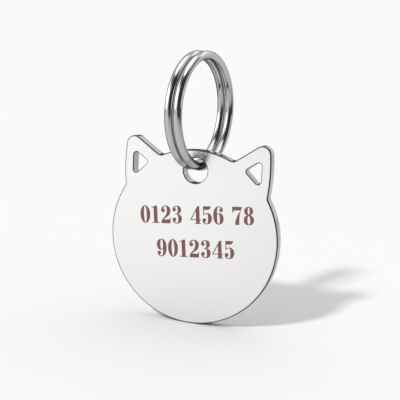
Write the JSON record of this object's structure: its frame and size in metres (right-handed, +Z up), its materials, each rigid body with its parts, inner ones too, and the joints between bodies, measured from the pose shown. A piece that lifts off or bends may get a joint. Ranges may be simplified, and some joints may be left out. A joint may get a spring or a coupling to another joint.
{
  "type": "pet identity tag",
  "caption": "Round metal pet tag with two cat ears and a split ring through a hole near its top edge, for hanging on a collar.",
  "frame": {"origin": "the top of the split ring's eye, on the wire's inner side, midway between its two turns, where the collar bears", "axes": "+Z up, from the hanging tag towards the collar; +X to the right across the plate; the lettered face of the plate looks along -Y"},
  "size_m": [0.03, 0.0198, 0.0463],
  "materials": {
    "plate_steel": "polished",
    "ring_wire": "polished"
  },
  "bodies": {
    "ring": {"split_ring": "ring_wire"},
    "tag": {"tag_plate": "plate_steel"}
  },
  "joints": [
    {"name": "tag_round_ring", "type": "hinge", "parent": "ring", "child": "tag", "pos_m": [0, 0, -0.0085], "axis": [0.9903, -0.1392, 0], "continuous": true}
  ]
}
